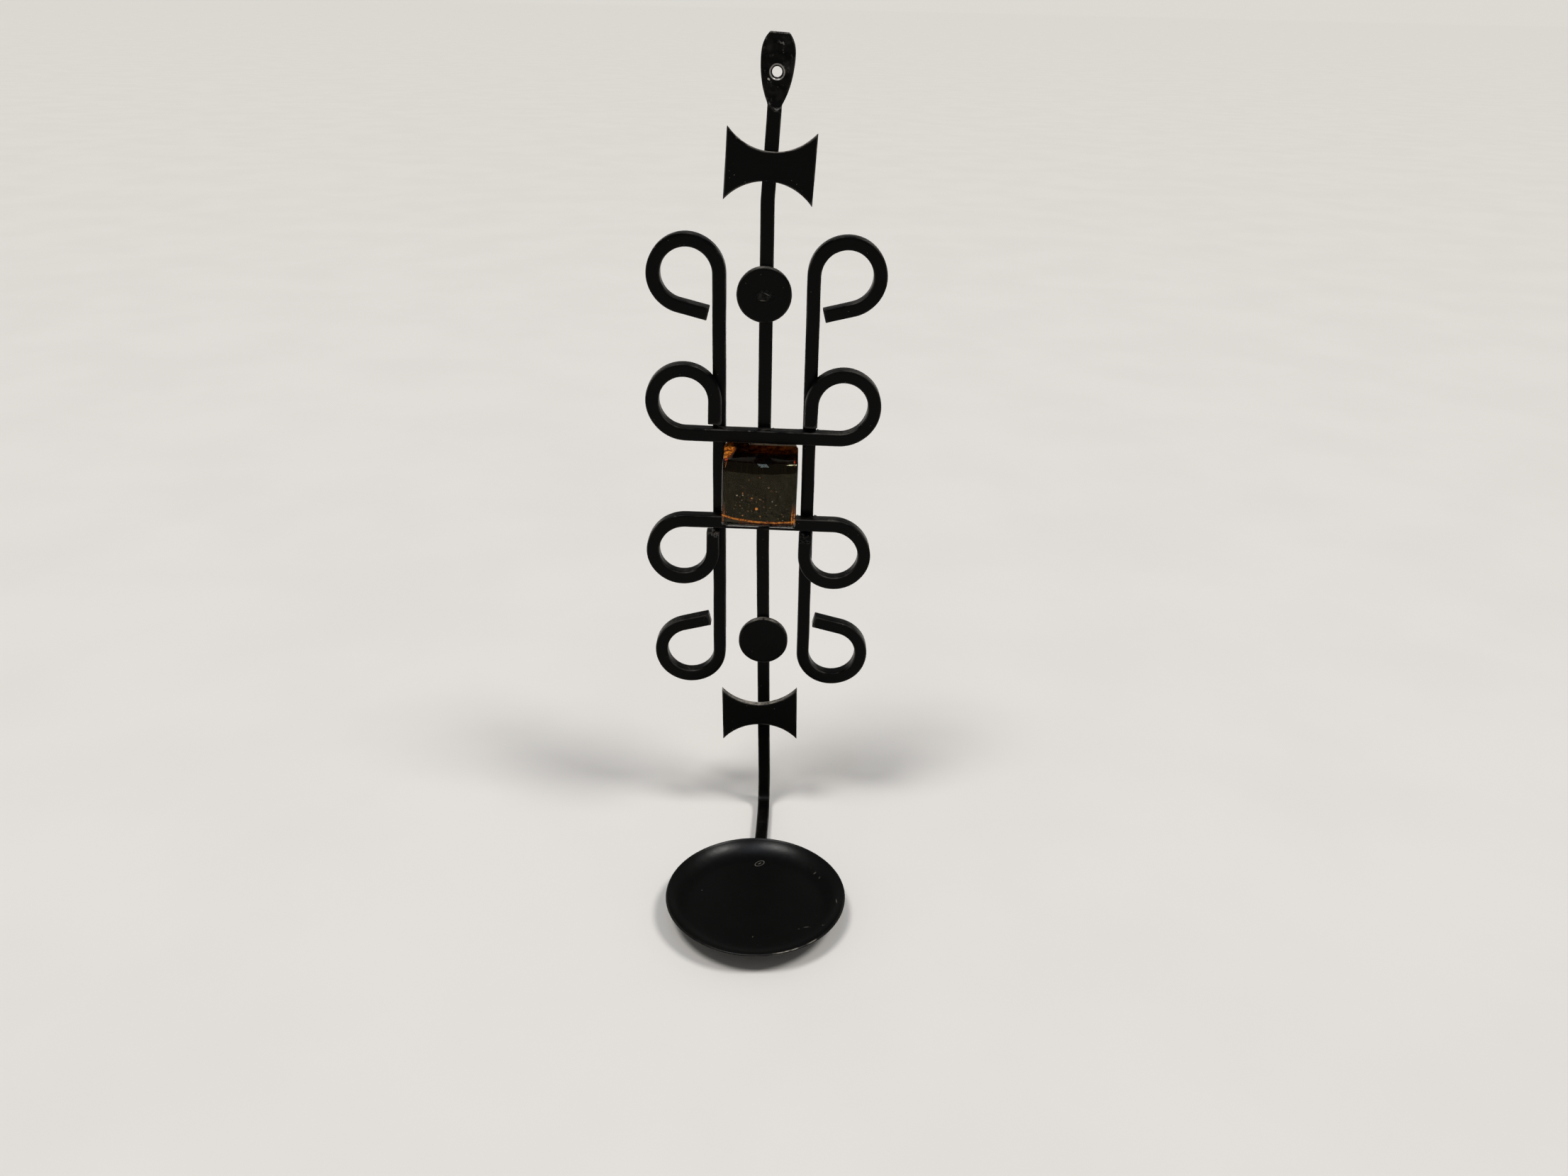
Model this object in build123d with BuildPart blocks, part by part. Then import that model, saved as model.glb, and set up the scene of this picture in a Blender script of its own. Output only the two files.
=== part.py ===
"""Wall candle holder: scrolled square bar welded to a spine, with a glass block and a candle dish."""

import os
from math import cos, radians, sin, tan

from build123d import *

os.makedirs("parts", exist_ok=True)

# Driving dimensions, in millimetres and degrees.
# The origin is the centre of the hanging hole on the wall, +X is to the right and +Z is up.
# The wall is the plane Y = 0 and the room is on its -Y side.

# Bar stock
bar = 6.0  # side of the square bar
bar_edge = 0.6  # rounding along the bar

# Hanging eye, forged flat from the top of the spine
eye_thickness = 3.0
eye_width = 14.2
eye_widest_rise = 5.7  # hole centre up to the widest place
eye_top_rise = 15.0  # hole centre up to the cut end
eye_top_width = 7.8
eye_neck_drop = 12.4  # hole centre down to where the eye is as narrow as the bar
eye_cheek_slope = 0.5  # how fast the eye narrows where it meets the bar
eye_shoulder = 2.6  # slope from the flat eye to the full bar
hole_diameter = 4.2
hole_ring_diameter = 6.0
hole_ring_angle = 90.0

# Spine and candle arm, one bar bent forward at its foot and not quite straight
spine_lean = 3.5  # eye and upper plate, leaning to the right
knee_drop = 50.0  # hole centre down to where that lean starts
foot_lean = 1.1  # foot of the spine, leaning to the right on its way down
hip_drop = 210.0  # hole centre down to where that lean starts
ankle_drop = 345.0  # hole centre down to where that lean ends
arm_drop = 358.0  # hole centre down to the arm's centre line
arm_swing = 1.6  # arm, turned to the left
wrist_reach = 16.0  # wall to where the arm turns
bend_radius = 8.5  # centre line of the bend
arm_past_dish = 10.0  # arm's end beyond the dish's centre

# Candle dish, pressed from sheet
dish_reach = 91.2  # wall to the dish's centre
dish_diameter = 84.0
dish_floor_diameter = 58.0
dish_depth = 6.0
dish_sheet = 1.0
dish_rim_round = 0.4

# Side scrolls, mirrored left and right and above and below the heart of the holder
heart_drop = 174.7  # hole centre down to the middle of the side scrolls
scroll_spacing = 41.5  # between the centre lines of the side bars
scroll_height = 221.0  # over the outsides of the loops
loop_radius = 14.5  # centre line of a loop
loop_turn = 256.0
loop_tip_gap = 1.2  # loop's cut end to its own bar

# Cross scrolls, laid over the spine and the side bars
cross_shift = -1.2  # whole scroll, towards the left
cross_tilt = 1.0  # both scrolls about the heart, lower on the right
curl_radius = 14.2  # centre line of a curl's round end
curl_shoulder_radius = 15.5  # centre line where the cross bar turns into a curl
curl_tip_overhang = 1.1  # curl's tip, out from the side bar that it is welded to
curl_tip_gap = 2.2  # curl's cut end to the cross bar

# Plates shaped like a double axe head, on the spine
plate_width = 37.8
plate_height = 29.5
plate_waist = 11.7
plate_thickness = 3.0
plate_edge = 0.5
upper_plate_drop = 36.4
lower_plate_rise = 55.6  # arm's centre line up to the lower plate
lower_plate_shift = -2.0  # towards the left

# Round discs on the spine
disc_diameter = 24.2
disc_thickness = 3.3
disc_edge = 0.7
disc_offset = 85.2  # heart to a disc's centre, up and down
upper_disc_shift = -0.9  # towards the left

# Glass block between the cross bars, glued to a plate on the spine
glass_width = 34.0
glass_height = 34.9
glass_depth = 19.0
glass_top_fall = 2.8  # top of the glass, from its back to its front
glass_corner = 1.2  # left and right edges
glass_front_round = 5.0  # top and bottom of the front
glass_shift = -1.5  # towards the left
glass_head_gap = 1.7  # top of the glass to the upper cross bar
back_plate_margin = 3.0  # glass edge to plate edge
back_plate_thickness = 1.5
glue_thickness = 0.5
glue_margin = 1.0  # plate edge to glue edge

# Weld beads
bead_leg = 1.8
bead_clearance = 0.5  # bead's end to the edge of the bar that hides it
plate_bead = 8.0
dish_bead = 14.0

# Places worked out from the driving dimensions
lean = radians(spine_lean)
heart_x = -knee_drop * sin(lean)
heart_z = -heart_drop
side_x = scroll_spacing / 2
cross_gap = glass_height + glass_head_gap
cross_rise = (cross_gap + bar) / 2
arm_top_z = -arm_drop + bar / 2
glass_back = bar + back_plate_thickness + glue_thickness
foot_x = heart_x + (ankle_drop - hip_drop) * tan(radians(foot_lean))
swing = radians(arm_swing)
dish_x = foot_x - (dish_reach - wrist_reach) * tan(swing)
lower_plate_drop = arm_drop - lower_plate_rise


def wall_plane(x, z, turn):
    """Plane on the wall that faces the room, turned clockwise in the wall."""
    turn = radians(turn)
    return Plane(origin=(x, 0, z), x_dir=(cos(turn), 0, -sin(turn)), z_dir=(0, -1, 0))


# The eye's plane leans with it, the heart's plane is upright, and the cross scrolls' plane tilts with them
eye_wall = wall_plane(0, 0, spine_lean)
heart_wall = wall_plane(heart_x, heart_z, 0)
cross_wall = wall_plane(heart_x, heart_z, cross_tilt)
cross_level = Plane(cross_wall.origin, x_dir=cross_wall.x_dir, z_dir=cross_wall.y_dir)


def across_spine(drop):
    """Plane square to the spine, with its origin on the wall, at a drop below the hanging hole."""
    if drop < knee_drop:
        return Plane(eye_wall.from_local_coords((0, -drop, 0)), x_dir=eye_wall.x_dir, z_dir=eye_wall.y_dir)
    past_hip = max(drop - hip_drop, 0)
    slope = tan(radians(foot_lean)) if past_hip else 0
    return Plane(origin=(heart_x + past_hip * slope, 0, -drop), x_dir=(1, 0, slope), z_dir=(-slope, 0, 1))


def spine_face(drop, shift=0.0):
    """Plane on the spine's front face, at a drop below the hanging hole, shifted to the right."""
    square = across_spine(drop)
    return Plane(square.from_local_coords((shift, -bar, 0)), x_dir=square.x_dir, z_dir=(0, -1, 0))


def write_part(built, name):
    """Label a finished piece and write its STEP file."""
    built.part.label = name
    export_step(built.part, f"parts/{name}.step")


# Spine bar: flat eye, forged shoulder, spine, bend and candle arm
shoulder_drop = eye_neck_drop + eye_shoulder
arm_end = dish_reach + arm_past_dish
with BuildPart() as spine_bar:
    with BuildSketch(eye_wall):
        with BuildLine():
            cut_end = Line((-eye_top_width / 2, eye_top_rise), (eye_top_width / 2, eye_top_rise))
            widest = (eye_width / 2, eye_widest_rise)
            brow = Spline(cut_end @ 1, widest, tangents=((1, -1), (0, -1)))
            neck = (bar / 2, -eye_neck_drop)
            cheek = Spline(brow @ 1, neck, tangents=((0, -1), (-eye_cheek_slope, -1)))
            mirror(objects=[brow, cheek], about=Plane.YZ)
            Line(neck, (-bar / 2, -eye_neck_drop))
        make_face()
    extrude(amount=eye_thickness)
    with BuildSketch(across_spine(eye_neck_drop)):
        with Locations((0, -eye_thickness / 2)):
            RectangleRounded(bar, eye_thickness, bar_edge)
    with BuildSketch(across_spine(shoulder_drop)):
        with Locations((0, -bar / 2)):
            RectangleRounded(bar, bar, bar_edge)
    loft()
    with BuildLine() as spine_line:
        shoulder = across_spine(shoulder_drop).origin + Vector(0, -bar / 2, 0)
        knee = (heart_x, -bar / 2, -knee_drop * cos(lean))
        hip = (heart_x, -bar / 2, -hip_drop)
        ankle = (foot_x, -bar / 2, -ankle_drop)
        foot = (foot_x, -bar / 2, -arm_drop)
        wrist = (foot_x, -wrist_reach, -arm_drop)
        arm_tip = (dish_x - arm_past_dish * tan(swing), -arm_end, -arm_drop)
        FilletPolyline(shoulder, knee, hip, ankle, foot, wrist, arm_tip, radius=bend_radius)
    with BuildSketch(Plane(origin=shoulder, x_dir=eye_wall.x_dir, z_dir=-eye_wall.y_dir)):
        RectangleRounded(bar, bar, bar_edge)
    sweep(path=spine_line.wire())
    with Locations(eye_wall.offset(eye_thickness)):
        CounterSinkHole(hole_diameter / 2, hole_ring_diameter / 2, eye_thickness, hole_ring_angle)
write_part(spine_bar, "spine_bar")

# Side scroll bars: a straight bar with a loop turned outwards at each end
loop_x = side_x + loop_radius
loop_rise = scroll_height / 2 - loop_radius - bar / 2
with BuildPart() as right_scroll_bar:
    with BuildLine(heart_wall.offset(bar / 2)) as scroll_line:
        upper_loop = CenterArc((loop_x, loop_rise), loop_radius, 180, -loop_turn)
        lower_loop = CenterArc((loop_x, -loop_rise), loop_radius, 180, loop_turn)
        Line(lower_loop @ 0, upper_loop @ 0)
        for loop in (upper_loop, lower_loop):
            heading = loop % 1
            loop_tip_x = heart_x + side_x + bar / 2 + loop_tip_gap + bar / 2 * abs(heading.Z)
            tail = (loop_tip_x - (loop @ 1).X) / heading.X
            Line(loop @ 1, loop @ 1 + heading * tail)
    start = scroll_line.wire() @ 0
    with BuildSketch(Plane(origin=start, x_dir=(0, 1, 0), z_dir=scroll_line.wire() % 0)):
        RectangleRounded(bar, bar, bar_edge)
    sweep()
write_part(right_scroll_bar, "right_scroll_bar")

with BuildPart() as left_scroll_bar:
    mirror(right_scroll_bar.part, about=Plane.YZ.offset(heart_x))
write_part(left_scroll_bar, "left_scroll_bar")

# Cross scrolls: a straight bar whose ends curl up, or down, and come back to the side bars
tip_x = side_x + curl_tip_overhang
curl_x = tip_x + curl_radius
shoulder_x = tip_x + 2 * curl_radius - curl_shoulder_radius
curl_rise = cross_rise + curl_shoulder_radius
tip_rise = cross_rise + bar / 2 + curl_tip_gap
with BuildPart() as upper_cross_scroll:
    with BuildLine(cross_wall.offset(bar * 1.5)) as cross_line:
        Line((cross_shift - shoulder_x, cross_rise), (cross_shift + shoulder_x, cross_rise))
        for side, first, turn in ((1, -90, 90), (-1, -90, -90)):
            curl_centre = (cross_shift + side * curl_x, curl_rise)
            CenterArc((cross_shift + side * shoulder_x, curl_rise), curl_shoulder_radius, first, turn)
            round_end = CenterArc(curl_centre, curl_radius, first + turn, 2 * turn)
            Line(round_end @ 1, (cross_shift + side * tip_x, tip_rise))
    start = cross_line.wire() @ 0
    with BuildSketch(Plane(origin=start, x_dir=(0, 1, 0), z_dir=cross_line.wire() % 0)):
        RectangleRounded(bar, bar, bar_edge)
    sweep()
write_part(upper_cross_scroll, "upper_cross_scroll")

with BuildPart() as lower_cross_scroll:
    mirror(upper_cross_scroll.part, about=cross_level)
write_part(lower_cross_scroll, "lower_cross_scroll")

# Plates shaped like a double axe head, hollowed above and below
plates = {
    "upper_axe_plate": (upper_plate_drop, 0),
    "lower_axe_plate": (lower_plate_drop, lower_plate_shift),
}
for name, (drop, shift) in plates.items():
    with BuildPart() as axe_plate:
        with BuildSketch(spine_face(drop, shift)):
            with BuildLine():
                corner = (plate_width / 2, plate_height / 2)
                far_corner = (-plate_width / 2, plate_height / 2)
                hollow = ThreePointArc(far_corner, (0, plate_waist / 2), corner)
                blade = Line(corner, (plate_width / 2, -plate_height / 2))
                mirror(objects=hollow, about=Plane.XZ)
                mirror(objects=blade, about=Plane.YZ)
            make_face()
        extrude(amount=plate_thickness)
        front = axe_plate.faces().sort_by(Axis.Y)[0]
        fillet(front.edges(), plate_edge)
    write_part(axe_plate, name)

# Round discs
discs = {
    "upper_disc": (heart_drop - disc_offset, upper_disc_shift),
    "lower_disc": (heart_drop + disc_offset, 0),
}
for name, (drop, shift) in discs.items():
    with BuildPart() as disc:
        with BuildSketch(spine_face(drop, shift)):
            Circle(disc_diameter / 2)
        extrude(amount=disc_thickness)
        fillet(disc.faces().sort_by(Axis.Y)[0].edges(), disc_edge)
    write_part(disc, name)

# Glass block with its back plate and glue, tilted with the cross scrolls that it stands between
glass_middle = cross_wall.from_local_coords((glass_shift, -glass_head_gap / 2, 0))
glass_wall = Plane(glass_middle, x_dir=cross_wall.x_dir, z_dir=cross_wall.z_dir)
glass_seat = glass_wall.offset(bar)
with BuildPart() as glass_back_plate:
    with BuildSketch(glass_seat):
        Rectangle(glass_width - 2 * back_plate_margin, glass_height - 2 * back_plate_margin)
    extrude(amount=back_plate_thickness)
write_part(glass_back_plate, "glass_back_plate")

glue_inset = 2 * (back_plate_margin + glue_margin)
with BuildPart() as glass_glue_bed:
    with BuildSketch(glass_seat.offset(back_plate_thickness)):
        RectangleRounded(glass_width - glue_inset, glass_height - glue_inset, glass_corner)
    extrude(amount=glue_thickness)
write_part(glass_glue_bed, "glass_glue_bed")

with BuildPart() as glass_block:
    with BuildSketch(Plane(glass_middle, x_dir=(0, 1, 0), z_dir=glass_wall.x_dir)) as glass_side:
        with BuildLine():
            back_top = (-glass_back, glass_height / 2)
            front_top = (-glass_back - glass_depth, glass_height / 2 - glass_top_fall)
            front_foot = (-glass_back - glass_depth, -glass_height / 2)
            Polyline((-glass_back, -glass_height / 2), back_top, front_top, front_foot, close=True)
        make_face()
        fillet(glass_side.vertices().group_by(Axis.X)[0], glass_front_round)
    extrude(amount=glass_width / 2, both=True)
    left, *_, right = glass_block.faces().sort_by(Axis(glass_middle, glass_wall.x_dir))
    fillet(left.edges() + right.edges(), glass_corner)
write_part(glass_block, "glass_block")

# Candle dish: flat floor and a flared wall
dish_plane = Plane(origin=(dish_x, -dish_reach, arm_top_z), x_dir=(1, 0, 0), z_dir=(0, -1, 0))
with BuildPart() as candle_dish:
    with BuildSketch(dish_plane) as dish_section:
        with BuildLine():
            floor = Line((0, dish_sheet / 2), (dish_floor_diameter / 2, dish_sheet / 2))
            rim = ((dish_diameter - dish_sheet) / 2, dish_depth)
            TangentArc(floor @ 1, rim, tangent=floor % 1)
        trace(line_width=dish_sheet)
        fillet(dish_section.vertices().sort_by(Axis.X)[-2:], dish_rim_round)
    revolve(axis=Axis((dish_x, -dish_reach, 0), (0, 0, 1)))
write_part(candle_dish, "candle_dish")

# Weld beads behind the pieces that lie on the back layer of bars
crossed_bars = (-side_x, 0, side_x)
cross_bead = bar - 2 * bead_clearance
bead_rows = {
    "upper_cross_welds": (heart_drop - cross_rise, cross_bead, crossed_bars),
    "lower_cross_welds": (heart_drop + cross_rise, cross_bead, crossed_bars),
    "upper_plate_welds": (upper_plate_drop, plate_bead, (0,)),
    "lower_plate_welds": (lower_plate_drop, plate_bead, (0,)),
    "upper_disc_welds": (heart_drop - disc_offset, plate_bead, (0,)),
    "lower_disc_welds": (heart_drop + disc_offset, plate_bead, (0,)),
    "back_plate_welds": (heart_drop + glass_head_gap / 2, plate_bead, (0,)),
}
for name, (drop, length, bars) in bead_rows.items():
    with BuildPart() as beads:
        with BuildSketch(across_spine(drop)):
            for bar_x in bars:
                with Locations((bar_x - bar / 2, -bar), (bar_x + bar / 2, -bar)):
                    Circle(bead_leg)
                with Locations((bar_x, -bar - bead_leg / 2)):
                    Rectangle(bar + 2 * bead_leg, bead_leg, mode=Mode.SUBTRACT)
                with Locations((bar_x, -bar / 2)):
                    Rectangle(bar, bar, mode=Mode.SUBTRACT)
        extrude(amount=length / 2, both=True)
    write_part(beads, name)

# Weld beads between the cut ends of the curls and the side bars behind them
with BuildPart() as upper_curl_welds:
    for side in (-1, 1):
        curl_tip_x = cross_shift + side * tip_x
        bead_x = (curl_tip_x + side * side_x) / 2
        overlap = bar - abs(curl_tip_x - side * side_x) - 2 * bar_edge
        tip = cross_wall.from_local_coords((bead_x, tip_rise, bar))
        with BuildSketch(Plane(tip, x_dir=(0, 1, 0), z_dir=cross_wall.x_dir)):
            Circle(bead_leg)
            with Locations((bead_leg / 2, 0)):
                Rectangle(bead_leg, 2 * bead_leg, mode=Mode.SUBTRACT)
            with Locations((0, bead_leg / 2)):
                Rectangle(2 * bead_leg, bead_leg, mode=Mode.SUBTRACT)
        extrude(amount=overlap / 2, both=True)
write_part(upper_curl_welds, "upper_curl_welds")

with BuildPart() as lower_curl_welds:
    mirror(upper_curl_welds.part, about=cross_level)
write_part(lower_curl_welds, "lower_curl_welds")

# Weld beads along the candle arm, under the dish
arm_right = (cos(swing), -sin(swing), 0)
arm_ahead = (-sin(swing), -cos(swing), 0)
with BuildPart() as dish_welds:
    with BuildSketch(Plane((dish_x, -dish_reach, arm_top_z), x_dir=arm_right, z_dir=arm_ahead)):
        with Locations((-bar / 2, 0), (bar / 2, 0)):
            Circle(bead_leg)
        with Locations((0, bead_leg / 2)):
            Rectangle(bar + 2 * bead_leg, bead_leg, mode=Mode.SUBTRACT)
        with Locations((0, -bar / 2)):
            Rectangle(bar, bar, mode=Mode.SUBTRACT)
    extrude(amount=dish_bead / 2, both=True)
write_part(dish_welds, "dish_welds")
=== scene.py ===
# %% [markdown]
# # A wrought-iron wall candle holder
# Square bar, scrolled and welded, carries an amber glass block and a pressed candle dish. The solids of
# the holder are already packed, so this lesson dresses them: every piece below takes its place from the
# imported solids, and the sizes that a box can't tell are named where a piece needs them.

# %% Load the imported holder
import random
from math import atan2, cos, pi, radians, sin, sqrt

import bmesh
import bpy
from mathutils import Matrix, Vector, noise


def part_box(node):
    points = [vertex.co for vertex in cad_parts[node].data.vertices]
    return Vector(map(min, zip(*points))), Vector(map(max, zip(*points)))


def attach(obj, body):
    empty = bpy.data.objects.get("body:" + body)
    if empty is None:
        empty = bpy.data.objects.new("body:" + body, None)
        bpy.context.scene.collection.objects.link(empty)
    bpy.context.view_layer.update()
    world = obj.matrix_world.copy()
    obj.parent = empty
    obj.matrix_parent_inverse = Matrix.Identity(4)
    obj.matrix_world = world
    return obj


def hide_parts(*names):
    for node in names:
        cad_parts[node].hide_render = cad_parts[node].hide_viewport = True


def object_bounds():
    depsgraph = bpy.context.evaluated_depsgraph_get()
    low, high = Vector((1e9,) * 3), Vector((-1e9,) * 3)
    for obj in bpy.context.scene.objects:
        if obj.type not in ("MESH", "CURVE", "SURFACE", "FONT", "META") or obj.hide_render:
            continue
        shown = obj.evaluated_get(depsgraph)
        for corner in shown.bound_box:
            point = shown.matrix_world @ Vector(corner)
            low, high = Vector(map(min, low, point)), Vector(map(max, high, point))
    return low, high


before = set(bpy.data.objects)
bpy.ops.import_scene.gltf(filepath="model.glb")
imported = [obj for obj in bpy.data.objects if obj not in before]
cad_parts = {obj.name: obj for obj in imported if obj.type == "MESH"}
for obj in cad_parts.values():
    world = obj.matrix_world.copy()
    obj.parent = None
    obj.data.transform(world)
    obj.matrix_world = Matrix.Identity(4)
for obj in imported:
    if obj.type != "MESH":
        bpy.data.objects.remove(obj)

MM = 0.001
cad_low, cad_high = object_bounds()
print("holder in mm:", [round(side / MM, 1) for side in cad_high - cad_low])

# %% [markdown]
# ## Camera
# The picture was taken from in front, a little above the hanging eye, looking down at the dish. A camera
# can be placed by eye, but here its place, lens and turns come from lining up the eye, the loops and the
# dish with the picture, so the numbers are odd ones. Shift and depth of field stay off.

# %% Place the camera
camera_place = Vector((6.15, -544.1, 25.9)) * MM
camera_yaw = radians(-0.16)
camera_pitch = radians(90 - 25.6)
camera_roll = radians(1.33)
camera = bpy.data.cameras.new("camera")
camera.sensor_width = 36.0
camera.lens = 28.09
camera.clip_start = 0.01
viewpoint = bpy.data.objects.new("camera", camera)
aim = Matrix.Rotation(camera_yaw, 4, "Z") @ Matrix.Rotation(camera_pitch, 4, "X")
viewpoint.matrix_world = Matrix.Translation(camera_place) @ aim @ Matrix.Rotation(camera_roll, 4, "Z")
bpy.context.scene.collection.objects.link(viewpoint)
bpy.context.scene.camera = viewpoint
bpy.context.scene.view_settings.view_transform = "Standard"
print("camera at", [round(v, 4) for v in viewpoint.matrix_world.translation])

# %% [markdown]
# ## Short ways to write a finish
# A finish is a Principled shader with noise behind its sockets. Adding nodes one by one fills pages, so
# one small class keeps the tree of a finish and adds a node with its sockets filled or joined. Patterns
# read Object coordinates: every piece sits at the origin, so these are metres in the holder's own frame,
# and a scale of 500 means marks about 2 mm across.


# %% A finish and its nodes
class Finish:
    """A procedural material, with short ways to add and join its nodes."""

    def __init__(self, name, sockets):
        self.material = bpy.data.materials.new(name)
        self.material.use_nodes = True
        self.tree = self.material.node_tree
        self.shader = self.tree.nodes["Principled BSDF"]
        self.spot = self.tree.nodes.new("ShaderNodeTexCoord").outputs["Object"]
        self.fill(self.shader, sockets)

    def fill(self, node, sockets):
        for name, value in sockets.items():
            if isinstance(value, bpy.types.NodeSocket):
                self.tree.links.new(value, node.inputs[name])
            else:
                node.inputs[name].default_value = value

    def node(self, kind, sockets, **settings):
        made = self.tree.nodes.new("ShaderNode" + kind)
        for name, value in settings.items():
            setattr(made, name, value)
        self.fill(made, sockets)
        return made.outputs

    def noise(self, scale, detail=3.0, rough=0.5, spot=None):
        sockets = {"Vector": spot or self.spot, "Scale": scale, "Detail": detail, "Roughness": rough}
        return self.node("TexNoise", sockets)["Fac"]

    def ease(self, value, low, high, end=1.0):
        """Nothing below low, end above high, and a smooth change between."""
        sockets = {"Value": value, "From Min": low, "From Max": high, "To Max": end}
        return self.node("MapRange", sockets, interpolation_type="SMOOTHSTEP")["Result"]

    def math(self, operation, first, second):
        return self.node("Math", {0: first, 1: second}, operation=operation)["Value"]

    def plus(self, first, second):
        return self.math("ADD", first, second)

    def minus(self, first, second):
        return self.math("SUBTRACT", first, second)

    def times(self, first, *others):
        for other in others:
            first = self.math("MULTIPLY", first, other)
        return first

    def most(self, first, *others):
        for other in others:
            first = self.math("MAXIMUM", first, other)
        return first

    def blend(self, share, under, over):
        """One colour over another."""
        return self.node("Mix", {0: share, 6: under, 7: over}, data_type="RGBA")[2]

    def bump(self, height, strength, depth, normal=None):
        sockets = {"Height": height, "Strength": strength, "Distance": depth}
        if normal:
            sockets["Normal"] = normal
        return self.node("Bump", sockets)["Normal"]

    def facing_up(self, low, high):
        normal = self.node("NewGeometry", {})["Normal"]
        return self.ease(self.node("SeparateXYZ", {"Vector": normal})["Z"], low, high)

    def edges(self):
        return self.node("Attribute", {}, attribute_name="edge")["Fac"]

    def specks(self, scale, size, share):
        """Scattered small dots, not quite round: a share of the cells of a Voronoi pattern get one."""
        cells = self.node("TexVoronoi", {"Vector": self.spot, "Scale": scale})
        ragged = self.plus(cells["Distance"], self.times(self.noise(scale * 6, 2.0), size))
        dot = self.ease(ragged, size * 1.5, size * 1.1)
        chosen = self.node("SeparateColor", {"Color": cells["Color"]})["Red"]
        return self.times(dot, self.ease(chosen, 1 - share, 1 - share + 0.02))

    def distance(self, point, stretch=(1, 1, 1), turn=(0, 0, 0)):
        """How far a place is from a point, in metres, where a stretched and turned round counts as near."""
        sockets = {"Vector": self.spot, "Location": point, "Rotation": turn, "Scale": stretch}
        moved = self.node("Mapping", sockets, vector_type="TEXTURE")["Vector"]
        return self.node("VectorMath", {0: moved}, operation="LENGTH")["Value"]

    def own(self, place, turn):
        """A piece's own X, Y and Z in millimetres, with its place and its turn about Y taken away."""
        sockets = {"Vector": self.spot, "Location": place, "Rotation": (0, turn, 0), "Scale": (MM, MM, MM)}
        moved = self.node("Mapping", sockets, vector_type="TEXTURE")["Vector"]
        return self.node("SeparateXYZ", {"Vector": moved}).values()

    def size(self, value):
        return self.node("Math", {0: value}, operation="ABSOLUTE")["Value"]

    def line(self, value, middle, half):
        """A soft line where a value comes near its middle."""
        return self.ease(self.size(self.minus(value, middle)), half, half * 0.3)


# %% [markdown]
# ## Floor
# The holder stands on a plain pale surface. A large sheet is one quad, and its far edge is extruded and
# lifted, so that the surface rises far behind and no horizon shows in the picture. A wall would do that
# too, but it would catch shadows.

# %% Lay the floor
floor_reach = 80.0
far_rise = Vector((0, 320, 16))
floor_finish = Finish("pale_floor", {"Roughness": 0.75, "Specular IOR Level": 0.2})
clouds = floor_finish.ease(floor_finish.noise(9.0, 5.0), 0.3, 0.7)
floor_colour = floor_finish.blend(clouds, (0.75, 0.73, 0.7, 1), (0.77, 0.75, 0.72, 1))
floor_finish.fill(floor_finish.shader, {"Base Color": floor_colour})
bm = bmesh.new()
bmesh.ops.create_grid(bm, x_segments=1, y_segments=1, size=floor_reach)
far_edge = [e for e in bm.edges if all(v.co.y > 0 for v in e.verts)]
rising = bmesh.ops.extrude_edge_only(bm, edges=far_edge)["geom"]
bmesh.ops.translate(bm, vec=far_rise, verts=[v for v in rising if isinstance(v, bmesh.types.BMVert)])
bmesh.ops.recalc_face_normals(bm, faces=bm.faces)
bmesh.ops.translate(bm, vec=(0, 0, cad_low.z), verts=bm.verts)
floor_mesh = bpy.data.meshes.new("floor")
bm.to_mesh(floor_mesh)
bm.free()
floor_mesh.materials.append(floor_finish.material)
floor = bpy.data.objects.new("floor", floor_mesh)
bpy.context.scene.collection.objects.link(floor)
print("floor at", round(floor_mesh.vertices[0].co.z, 4))

# %% [markdown]
# ## Light
# Two soft lamps shine from above, one on each side, because the picture shows two soft lobes of light at
# the back of the dish and a shadow that is darkest where two shadows meet. Sun lamps with a wide angle do
# this evenly over the whole floor, where a near soft box would leave it grey farther back. A weak blue
# skylight overhead lights little, but the rolled edge of the glass shows it as a glint. An even grey
# world fills the rest, so black paint has something to mirror on every side.

# %% Hang the lights
world = bpy.data.worlds.new("grey_room")
world.use_nodes = True
world.node_tree.nodes["Background"].inputs["Color"].default_value = (1.0, 0.99, 0.97, 1)
world.node_tree.nodes["Background"].inputs["Strength"].default_value = 0.2
bpy.context.scene.world = world

for name, towards_lamp in (("lamp_left", (-0.26, -0.24, 0.935)), ("lamp_right", (0.45, -0.18, 0.875))):
    lamp = bpy.data.lights.new(name, "SUN")
    lamp.energy = 1.36
    lamp.angle = radians(15)
    lamp.color = (1.0, 0.985, 0.96)
    lantern = bpy.data.objects.new(name, lamp)
    lantern.matrix_world = Vector(towards_lamp).to_track_quat("Z", "Y").to_matrix().to_4x4()
    bpy.context.scene.collection.objects.link(lantern)

skylight_place = Vector((-0.004, -0.33, 1.7))
skylight = bpy.data.lights.new("skylight", "AREA")
skylight.shape = "RECTANGLE"
skylight.size = 0.1
skylight.size_y = 1.3
skylight.energy = 2.2
skylight.color = (0.5, 0.64, 1.0)
pane = bpy.data.objects.new("skylight", skylight)
pane_turn = skylight_place.to_track_quat("Z", "Y").to_matrix().to_4x4()
pane.matrix_world = Matrix.Translation(skylight_place) @ pane_turn
bpy.context.scene.collection.objects.link(pane)
print("lights:", [light.name for light in bpy.data.lights])
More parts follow.
